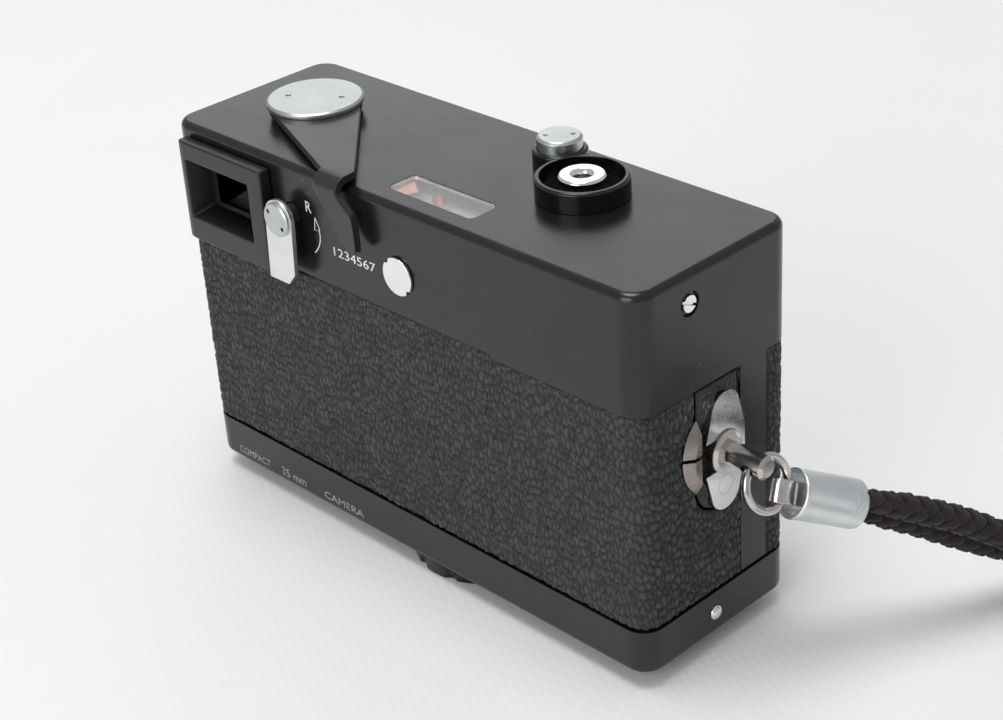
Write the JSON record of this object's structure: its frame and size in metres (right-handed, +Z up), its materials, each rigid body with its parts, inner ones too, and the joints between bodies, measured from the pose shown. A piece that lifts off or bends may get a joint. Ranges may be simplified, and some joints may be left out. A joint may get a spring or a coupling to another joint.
{
  "type": "compact 35 mm viewfinder camera",
  "caption": "Pocket 35 mm viewfinder camera with a collapsible lens, front dials, a rear wind lever, a removable back and a braided wrist strap.",
  "frame": {"origin": "mouth of the tripod socket in the base, in the plane the camera stands on", "axes": "+X towards the viewfinder end, +Y towards the back, +Z up; the lens looks along -Y"},
  "size_m": [0.1707, 0.0774, 0.0681],
  "materials": {
    "black_paint": "satin",
    "black_trim": "gloss",
    "black_inside": "matte",
    "grained_covering": "pebbled",
    "satin_chrome": "satin",
    "bright_chrome": "polished",
    "nickel": "polished",
    "steel": "satin",
    "ferrule_aluminium": "satin",
    "gear_brass": "satin",
    "black_plastic": "matte",
    "lens_glass": "coated",
    "window_glass": "clear",
    "photocell": "frosted",
    "meter_scale": "matte",
    "needle_orange": "matte",
    "dial_white": "matte",
    "cord_brown": "braided"
  },
  "bodies": {
    "camera_body": {"front_casting": "black_paint", "film_chassis": "black_inside", "front_leather": "grained_covering", "top_cover": "black_paint", "cover_screws": "bright_chrome", "finder_bezel": "black_plastic", "finder_housing": "black_plastic", "finder_glass": "window_glass", "meter_window": "window_glass", "meter_movement": "meter_scale", "photocell_window": "photocell", "battery": "steel", "adjuster_cover": "satin_chrome", "release_collar": "black_trim", "lock_collar": "black_trim", "lens_mount": "satin_chrome", "dial_bases": "satin_chrome", "lug_plate": "bright_chrome", "lug_screws": "bright_chrome", "strap_post": "nickel", "counter_window": "window_glass", "release_spring": "steel", "pressure_plate": "black_inside"},
    "wind_lever": {"wind_lever": "black_paint", "wind_cap": "satin_chrome", "wind_gear": "gear_brass"},
    "sprocket": {"sprocket": "steel"},
    "take_up_spool": {"take_up_spool": "black_plastic"},
    "shutter_release": {"release_button": "bright_chrome"},
    "lens_lock": {"lock_button": "satin_chrome"},
    "rewind_switch": {"rewind_switch": "satin_chrome", "switch_cap": "satin_chrome"},
    "lens_carriage": {"lens_carriage": "steel"},
    "lens_barrel": {"lens_tube": "satin_chrome", "shutter_unit": "black_inside", "rear_lens": "lens_glass"},
    "focus_ring": {"focus_ring": "satin_chrome"},
    "front_cell": {"front_cell": "black_paint", "front_lens": "lens_glass"},
    "speed_dial": {"speed_dial": "black_paint"},
    "film_reminder": {"film_reminder": "satin_chrome"},
    "aperture_dial": {"aperture_dial": "black_paint"},
    "film_speed_disc": {"film_speed_disc": "satin_chrome"},
    "meter_needle": {"meter_needle": "needle_orange"},
    "match_needle": {"match_needle": "needle_orange"},
    "counter_dial": {"counter_dial": "dial_white"},
    "rewind_crank": {"rewind_crank": "satin_chrome"},
    "crank_handle": {"crank_handle": "satin_chrome"},
    "back": {"back_shell": "black_paint", "back_leather": "grained_covering", "bottom_plate": "black_paint", "bottom_screws": "bright_chrome", "accessory_shoe": "steel", "tripod_bush": "steel", "lug_trim": "nickel"},
    "lock_key": {"lock_key": "black_trim"},
    "strap_ring": {"strap_ring": "nickel"},
    "strap": {"strap_tongue": "nickel", "strap_ferrule": "ferrule_aluminium", "wrist_cord": "cord_brown"}
  },
  "joints": [
    {"name": "wind_lever_turn", "type": "hinge", "parent": "camera_body", "child": "wind_lever", "pos_m": [0.0361, -0.0028, 0.0641], "axis": [0, 0, -1], "range_deg": [0, 132], "stiffness_Nm_per_rad": 0.004},
    {"name": "sprocket_turn", "type": "hinge", "parent": "camera_body", "child": "sprocket", "pos_m": [0.0265, 0.0027, 0.0456], "axis": [0, 0, 1], "range_deg": [0, 361]},
    {"name": "spool_turn", "type": "hinge", "parent": "camera_body", "child": "take_up_spool", "pos_m": [0.0405, -0.0023, 0.0456], "axis": [0, 0, -1], "range_deg": [0, 313]},
    {"name": "counter_turn", "type": "hinge", "parent": "camera_body", "child": "counter_dial", "pos_m": [0.0445, 0.0007, 0.0042], "axis": [0, 0, 1], "range_deg": [0, 10]},
    {"name": "release_press", "type": "slide", "parent": "camera_body", "child": "shutter_release", "axis": [0, 0, -1], "range_m": [0, 0.0015], "stiffness_N_per_m": 600, "springref_m": -0.001, "deforming": ["release_spring"]},
    {"name": "lens_lock_press", "type": "slide", "parent": "camera_body", "child": "lens_lock", "axis": [0, 0, -1], "range_m": [0, 0.0015], "stiffness_N_per_m": 600, "springref_m": -0.001},
    {"name": "rewind_switch_turn", "type": "hinge", "parent": "camera_body", "child": "rewind_switch", "pos_m": [0.0247, 0.0137, 0.0553], "axis": [0, 1, 0], "range_deg": [0, 60]},
    {"name": "lens_extend", "type": "slide", "parent": "camera_body", "child": "lens_carriage", "axis": [0, -1, 0], "range_m": [0, 0.0125]},
    {"name": "lens_twist", "type": "hinge", "parent": "lens_carriage", "child": "lens_barrel", "pos_m": [0.0035, -0.0033, 0.0275], "axis": [0, 1, 0], "range_deg": [0, 60]},
    {"name": "focus_turn", "type": "hinge", "parent": "lens_barrel", "child": "focus_ring", "pos_m": [0.0035, -0.0233, 0.0275], "axis": [0, -1, 0], "range_deg": [0, 240]},
    {"name": "front_cell_move", "type": "slide", "parent": "lens_barrel", "child": "front_cell", "axis": [0, -1, 0], "range_m": [0, 0.0013]},
    {"name": "speed_dial_turn", "type": "hinge", "parent": "camera_body", "child": "speed_dial", "pos_m": [-0.028, -0.0203, 0.0281], "axis": [0, -1, 0], "range_deg": [0, 300]},
    {"name": "film_reminder_turn", "type": "hinge", "parent": "speed_dial", "child": "film_reminder", "pos_m": [-0.028, -0.0233, 0.0281], "axis": [0, -1, 0], "continuous": true},
    {"name": "aperture_dial_turn", "type": "hinge", "parent": "camera_body", "child": "aperture_dial", "pos_m": [0.035, -0.0203, 0.0281], "axis": [0, -1, 0], "range_deg": [0, 180]},
    {"name": "film_speed_turn", "type": "hinge", "parent": "aperture_dial", "child": "film_speed_disc", "pos_m": [0.035, -0.0233, 0.0281], "axis": [0, -1, 0], "range_deg": [0, 270]},
    {"name": "meter_needle_swing", "type": "hinge", "parent": "camera_body", "child": "meter_needle", "pos_m": [0.0013, 0.0039, 0.0603], "axis": [0, 0, 1], "range_deg": [0, 30], "stiffness_Nm_per_rad": 0.00002},
    {"name": "match_needle_swing", "type": "hinge", "parent": "camera_body", "child": "match_needle", "pos_m": [-0.0049, 0.0087, 0.061], "axis": [0, 0, 1], "range_deg": [-1, 31]},
    {"name": "rewind_crank_spin", "type": "hinge", "parent": "camera_body", "child": "rewind_crank", "pos_m": [-0.0303, -0.0023, 0.0026], "axis": [0, 0, -1], "continuous": true},
    {"name": "crank_handle_fold", "type": "hinge", "parent": "rewind_crank", "child": "crank_handle", "pos_m": [-0.0303, -0.0023, 0.0006], "axis": [0, 1, 0], "range_deg": [0, 150]},
    {"name": "back_slide", "type": "slide", "parent": "camera_body", "child": "back", "axis": [0, 0, -1], "range_m": [0, 0.045]},
    {"name": "lock_key_turn", "type": "hinge", "parent": "back", "child": "lock_key", "pos_m": [0, 0, 0.0026], "axis": [0, 0, -1], "range_deg": [0, 90]},
    {"name": "strap_ring_swing", "type": "hinge", "parent": "camera_body", "child": "strap_ring", "pos_m": [-0.0513, -0.0032, 0.034], "axis": [0, 0.9455, -0.3256], "range_deg": [0, 60]},
    {"name": "strap_hook_swing", "type": "hinge", "parent": "strap_ring", "child": "strap", "pos_m": [-0.05376, -0.00722, 0.02824], "axis": [-0.2384, 0.5241, -0.8176], "range_deg": [0, 15]}
  ],
  "couplings": [
    {"joint": "sprocket_turn", "follows": "wind_lever_turn", "ratio": 2.7273},
    {"joint": "spool_turn", "follows": "wind_lever_turn", "ratio": 2.3636},
    {"joint": "counter_turn", "follows": "wind_lever_turn", "ratio": 0.068182},
    {"joint": "front_cell_move", "follows": "focus_turn", "m_per_rad": 0.000286},
    {"joint": "match_needle_swing", "follows": "aperture_dial_turn", "ratio": 0.16667}
  ]
}
